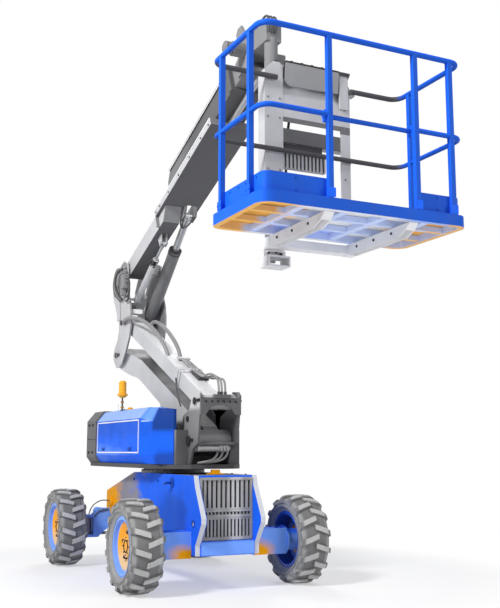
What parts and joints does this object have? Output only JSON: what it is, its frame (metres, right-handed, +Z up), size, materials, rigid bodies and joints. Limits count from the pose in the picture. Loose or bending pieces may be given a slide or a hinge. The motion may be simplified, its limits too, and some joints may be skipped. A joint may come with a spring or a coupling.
{
  "type": "articulating boom lift",
  "caption": "Four-wheel self-propelled aerial work platform with parallel lower arms, a telescopic upper boom and a guard-railed work cage.",
  "frame": {"origin": "on the ground under the slewing axis, half way between the axles", "axes": "+X forward, towards the grille and the cage; +Y to the machine's left; +Z up"},
  "size_m": [4.9709, 2.0779, 5.0046],
  "materials": {
    "blue_paint": "satin",
    "orange_paint": "satin",
    "grey_paint": "satin",
    "dark_paint": "satin",
    "light_paint": "satin",
    "bare_iron": "matte",
    "chrome": "polished",
    "tyre": "matte",
    "amber": "gloss",
    "control_plastic": "matte"
  },
  "bodies": {
    "chassis": {"chassis_frame": "blue_paint", "grille": "grey_paint", "engine_block": "bare_iron", "front_axle": "blue_paint", "rear_axle": "dark_paint", "slew_ring": "bare_iron"},
    "wheel_front_right": {"rim_front_right": "orange_paint", "tyre_front_right": "tyre"},
    "wheel_front_left": {"rim_front_left": "orange_paint", "tyre_front_left": "tyre"},
    "wheel_rear_right": {"rim_rear_right": "orange_paint", "tyre_rear_right": "tyre"},
    "wheel_rear_left": {"rim_rear_left": "orange_paint", "tyre_rear_left": "tyre"},
    "steer_right": {"knuckle_right": "bare_iron"},
    "steer_left": {"knuckle_left": "bare_iron"},
    "steer_rod": {"track_rod": "bare_iron"},
    "turret": {"turret_base": "dark_paint", "tower": "grey_paint", "deck_units": "dark_paint", "counterweight": "dark_paint"},
    "cover_right": {"canopy_right": "blue_paint", "beacon": "amber"},
    "cover_left": {"canopy_left": "blue_paint"},
    "lower_link": {"lower_arm": "grey_paint"},
    "tie_link": {"tie_arm": "grey_paint"},
    "riser_cylinder": {"riser_barrel": "dark_paint"},
    "riser_piston": {"riser_rod": "chrome"},
    "elbow": {"arm_knuckle": "light_paint"},
    "upper_boom": {"boom_base": "grey_paint", "boom_outer": "grey_paint"},
    "telescope": {"inner_boom": "light_paint", "telescope_ram": "chrome"},
    "lift_cylinder": {"lift_barrel": "dark_paint"},
    "lift_piston": {"lift_rod": "chrome"},
    "level_cylinder": {"level_barrel": "dark_paint"},
    "level_piston": {"level_rod": "chrome"},
    "hanger": {"cage_hanger": "grey_paint"},
    "cage": {"cage_beams": "light_paint", "cage_floor": "blue_paint", "cage_posts": "blue_paint", "cage_rails": "blue_paint", "console_frame": "light_paint", "console_panel": "control_plastic"},
    "entry": {"entry_bar": "blue_paint"}
  },
  "joints": [
    {"name": "wheel_spin_front_right", "type": "hinge", "parent": "chassis", "child": "wheel_front_right", "pos_m": [1.16, -0.8, 0.405], "axis": [0, 1, 0], "continuous": true},
    {"name": "wheel_spin_front_left", "type": "hinge", "parent": "chassis", "child": "wheel_front_left", "pos_m": [1.16, 0.8, 0.405], "axis": [0, 1, 0], "continuous": true},
    {"name": "wheel_spin_rear_right", "type": "hinge", "parent": "steer_right", "child": "wheel_rear_right", "pos_m": [-1.16, -0.8, 0.405], "axis": [0, 1, 0], "continuous": true},
    {"name": "wheel_spin_rear_left", "type": "hinge", "parent": "steer_left", "child": "wheel_rear_left", "pos_m": [-1.16, 0.8, 0.405], "axis": [0, 1, 0], "continuous": true},
    {"name": "steering_left", "type": "hinge", "parent": "chassis", "child": "steer_left", "pos_m": [-1.16, 0.56, 0.405], "axis": [0, 0, 1], "range_deg": [-30, 30]},
    {"name": "steering_right", "type": "hinge", "parent": "chassis", "child": "steer_right", "pos_m": [-1.16, -0.56, 0.405], "axis": [0, 0, 1], "range_deg": [-30.5, 30.5]},
    {"name": "track_rod_slide", "type": "slide", "parent": "chassis", "child": "steer_rod", "axis": [0, 1, 0], "range_m": [-0.08, 0.08]},
    {"name": "slewing", "type": "hinge", "parent": "chassis", "child": "turret", "pos_m": [0, 0, 1.05], "axis": [0, 0, 1], "range_deg": [-180, 180]},
    {"name": "cover_right_hinge", "type": "hinge", "parent": "turret", "child": "cover_right", "pos_m": [0, -0.234, 1.64], "axis": [-1, 0, 0], "range_deg": [0, 30]},
    {"name": "cover_left_hinge", "type": "hinge", "parent": "turret", "child": "cover_left", "pos_m": [0, 0.234, 1.64], "axis": [1, 0, 0], "range_deg": [0, 30]},
    {"name": "lower_arm_raise", "type": "hinge", "parent": "turret", "child": "lower_link", "pos_m": [0.93, 0, 1.31], "axis": [0, 1, 0], "range_deg": [-19.4, 38]},
    {"name": "tie_arm_foot", "type": "hinge", "parent": "turret", "child": "tie_link", "pos_m": [1.08, 0, 1.67], "axis": [0, 1, 0], "range_deg": [-19.9, 38.5]},
    {"name": "riser_cylinder_foot", "type": "hinge", "parent": "turret", "child": "riser_cylinder", "pos_m": [0.45, 0, 1.165], "axis": [0, 1, 0], "range_deg": [-24.31, 47.15]},
    {"name": "riser_stroke", "type": "slide", "parent": "riser_cylinder", "child": "riser_piston", "axis": [-0.8131, 0, 0.5821], "range_m": [-0.1454, 0.2839]},
    {"name": "elbow_level", "type": "hinge", "parent": "lower_link", "child": "elbow", "pos_m": [-1.27, 0, 2.31], "axis": [0, 1, 0], "range_deg": [-38.5, 19.9]},
    {"name": "upper_boom_raise", "type": "hinge", "parent": "elbow", "child": "upper_boom", "pos_m": [-1.08, 0, 3.28], "axis": [0, -1, 0], "range_deg": [-28, 42]},
    {"name": "lift_cylinder_foot", "type": "hinge", "parent": "elbow", "child": "lift_cylinder", "pos_m": [-1.19, 0.108, 2.63], "axis": [0, -1, 0], "range_deg": [-19.6, 29.15]},
    {"name": "lift_stroke", "type": "slide", "parent": "lift_cylinder", "child": "lift_piston", "axis": [0.762, 0, 0.6476], "range_m": [-0.1806, 0.2705]},
    {"name": "level_cylinder_foot", "type": "hinge", "parent": "elbow", "child": "level_cylinder", "pos_m": [-1, -0.077, 2.93], "axis": [0, -1, 0], "range_deg": [-24.32, 36.22]},
    {"name": "level_stroke", "type": "slide", "parent": "level_cylinder", "child": "level_piston", "axis": [0.8584, 0, 0.513], "range_m": [-0.1565, 0.2342]},
    {"name": "telescope_extend", "type": "slide", "parent": "upper_boom", "child": "telescope", "axis": [0.9367, 0, 0.3502], "range_m": [0, 1]},
    {"name": "cage_level", "type": "hinge", "parent": "telescope", "child": "hanger", "pos_m": [1.96216, 0, 4.7377], "axis": [0, -1, 0], "range_deg": [-42.5, 28.5]},
    {"name": "cage_turn", "type": "hinge", "parent": "hanger", "child": "cage", "pos_m": [2.31, -0.05, 2.89], "axis": [0, 0, 1], "range_deg": [-60, 60]},
    {"name": "entry_bar_lift", "type": "slide", "parent": "cage", "child": "entry", "axis": [0, 0, 1], "range_m": [0, 0.5]}
  ],
  "couplings": [
    {"joint": "steering_right", "follows": "steering_left", "ratio": 1},
    {"joint": "track_rod_slide", "follows": "steering_left", "m_per_rad": -0.145},
    {"joint": "tie_arm_foot", "follows": "lower_arm_raise", "ratio": 1},
    {"joint": "elbow_level", "follows": "lower_arm_raise", "ratio": -1},
    {"joint": "riser_cylinder_foot", "follows": "lower_arm_raise", "ratio": 1.2275},
    {"joint": "riser_stroke", "follows": "lower_arm_raise", "m_per_rad": 0.42649},
    {"joint": "lift_cylinder_foot", "follows": "upper_boom_raise", "ratio": 0.68206},
    {"joint": "lift_stroke", "follows": "upper_boom_raise", "m_per_rad": 0.3676},
    {"joint": "level_cylinder_foot", "follows": "upper_boom_raise", "ratio": 0.85058},
    {"joint": "level_stroke", "follows": "upper_boom_raise", "m_per_rad": 0.31814},
    {"joint": "cage_level", "follows": "upper_boom_raise", "ratio": -1}
  ]
}
